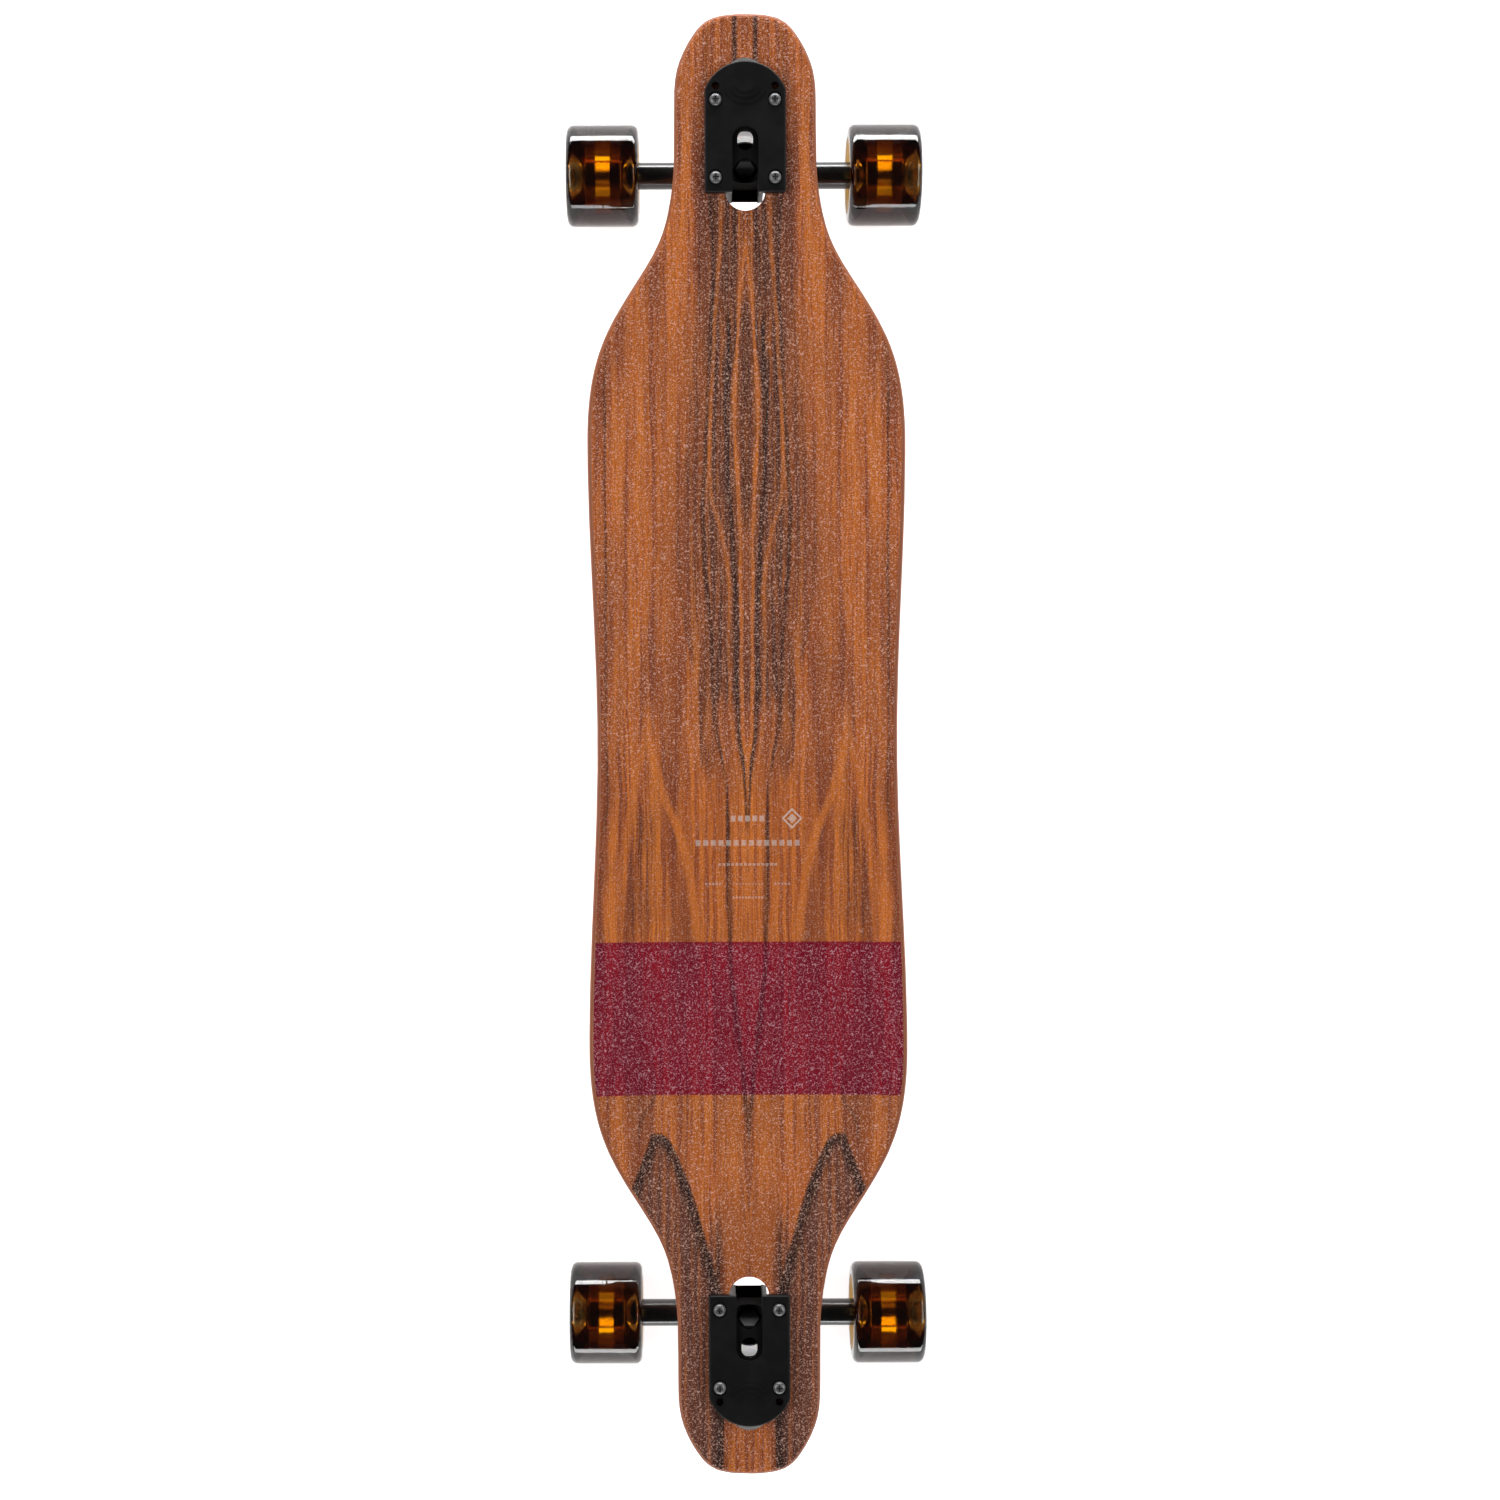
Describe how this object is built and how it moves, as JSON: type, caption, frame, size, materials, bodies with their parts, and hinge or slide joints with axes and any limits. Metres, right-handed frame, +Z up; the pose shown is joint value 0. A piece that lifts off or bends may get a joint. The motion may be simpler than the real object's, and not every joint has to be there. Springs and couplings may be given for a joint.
{
  "type": "longboard skateboard",
  "caption": "Drop-through longboard skateboard: symmetric cut-away wooden deck, reverse-kingpin trucks that steer as it leans, and free-rolling amber wheels.",
  "frame": {"origin": "on the ground, at the middle of the board, midway between the four wheels", "axes": "+X across the board to the rider's right when facing the nose, +Y along the board to the nose, +Z up"},
  "size_m": [0.2536, 1.018, 0.1087],
  "materials": {
    "top_veneer": "stained rosewood-like veneer with a clear gritty lacquer, book-matched, with one dark red dyed band",
    "core_wood": "laminated core, lacquered at the rounded rim",
    "bottom_veneer": "lacquered veneer",
    "cast_black": "satin black paint on cast aluminium",
    "cup_rubber": "moulded urethane pivot cup",
    "black_steel": "black oxide steel",
    "zinc_steel": "bright zinc plate",
    "nickel_steel": "nickel plate",
    "axle_steel": "turned steel",
    "bearing_steel": "ground bearing steel",
    "spacer_metal": "turned aluminium",
    "shield": "pressed steel shield",
    "bushing_urethane": "off-white cast urethane",
    "amber_urethane": "translucent dark amber cast urethane, glossy",
    "core_plastic": "bright amber moulded core"
  },
  "bodies": {
    "deck": {"deck_core": "core_wood", "top_veneer_left": "top_veneer", "top_veneer_right": "top_veneer", "bottom_veneer": "bottom_veneer", "front_baseplate": "cast_black", "front_pivot_cup": "cup_rubber", "front_kingpin": "black_steel", "front_bushing_washer": "black_steel", "front_boardside_bushing": "bushing_urethane", "front_roadside_bushing": "bushing_urethane", "front_top_washer": "zinc_steel", "front_kingpin_nut": "zinc_steel", "front_mounting_bolts": "nickel_steel", "front_mounting_nuts": "nickel_steel", "rear_baseplate": "cast_black", "rear_pivot_cup": "cup_rubber", "rear_kingpin": "black_steel", "rear_bushing_washer": "black_steel", "rear_boardside_bushing": "bushing_urethane", "rear_roadside_bushing": "bushing_urethane", "rear_top_washer": "zinc_steel", "rear_kingpin_nut": "zinc_steel", "rear_mounting_bolts": "nickel_steel", "rear_mounting_nuts": "nickel_steel"},
    "front_truck_hanger": {"front_hanger": "cast_black", "front_axle": "axle_steel", "front_axle_nuts": "zinc_steel", "front_speed_washers": "zinc_steel", "front_bearing_inner_races": "bearing_steel", "front_bearing_spacers": "spacer_metal"},
    "front_left_wheel_body": {"front_left_wheel": "amber_urethane", "front_left_wheel_core": "core_plastic", "front_left_bearing_outer_races": "bearing_steel", "front_left_bearing_balls": "bearing_steel", "front_left_bearing_shields": "shield"},
    "front_right_wheel_body": {"front_right_wheel": "amber_urethane", "front_right_wheel_core": "core_plastic", "front_right_bearing_outer_races": "bearing_steel", "front_right_bearing_balls": "bearing_steel", "front_right_bearing_shields": "shield"},
    "rear_truck_hanger": {"rear_hanger": "cast_black", "rear_axle": "axle_steel", "rear_axle_nuts": "zinc_steel", "rear_speed_washers": "zinc_steel", "rear_bearing_inner_races": "bearing_steel", "rear_bearing_spacers": "spacer_metal"},
    "rear_left_wheel_body": {"rear_left_wheel": "amber_urethane", "rear_left_wheel_core": "core_plastic", "rear_left_bearing_outer_races": "bearing_steel", "rear_left_bearing_balls": "bearing_steel", "rear_left_bearing_shields": "shield"},
    "rear_right_wheel_body": {"rear_right_wheel": "amber_urethane", "rear_right_wheel_core": "core_plastic", "rear_right_bearing_outer_races": "bearing_steel", "rear_right_bearing_balls": "bearing_steel", "rear_right_bearing_shields": "shield"}
  },
  "joints": [
    {"name": "front_steer", "type": "hinge", "parent": "deck", "child": "front_truck_hanger", "pos_m": [0, 0.42545, 0.07225], "axis": [0, 0.7071, 0.7071], "range_deg": [-18, 18], "stiffness_Nm_per_rad": 90, "deforming": ["front_boardside_bushing", "front_roadside_bushing"]},
    {"name": "front_left_spin", "type": "hinge", "parent": "front_truck_hanger", "child": "front_left_wheel_body", "pos_m": [-0.101, 0.41, 0.036], "axis": [1, 0, 0], "continuous": true},
    {"name": "front_right_spin", "type": "hinge", "parent": "front_truck_hanger", "child": "front_right_wheel_body", "pos_m": [0.101, 0.41, 0.036], "axis": [1, 0, 0], "continuous": true},
    {"name": "rear_steer", "type": "hinge", "parent": "deck", "child": "rear_truck_hanger", "pos_m": [0, -0.42545, 0.07225], "axis": [0, -0.7071, 0.7071], "range_deg": [-18, 18], "stiffness_Nm_per_rad": 90, "deforming": ["rear_boardside_bushing", "rear_roadside_bushing"]},
    {"name": "rear_left_spin", "type": "hinge", "parent": "rear_truck_hanger", "child": "rear_left_wheel_body", "pos_m": [-0.101, -0.41, 0.036], "axis": [1, 0, 0], "continuous": true},
    {"name": "rear_right_spin", "type": "hinge", "parent": "rear_truck_hanger", "child": "rear_right_wheel_body", "pos_m": [0.101, -0.41, 0.036], "axis": [1, 0, 0], "continuous": true}
  ]
}
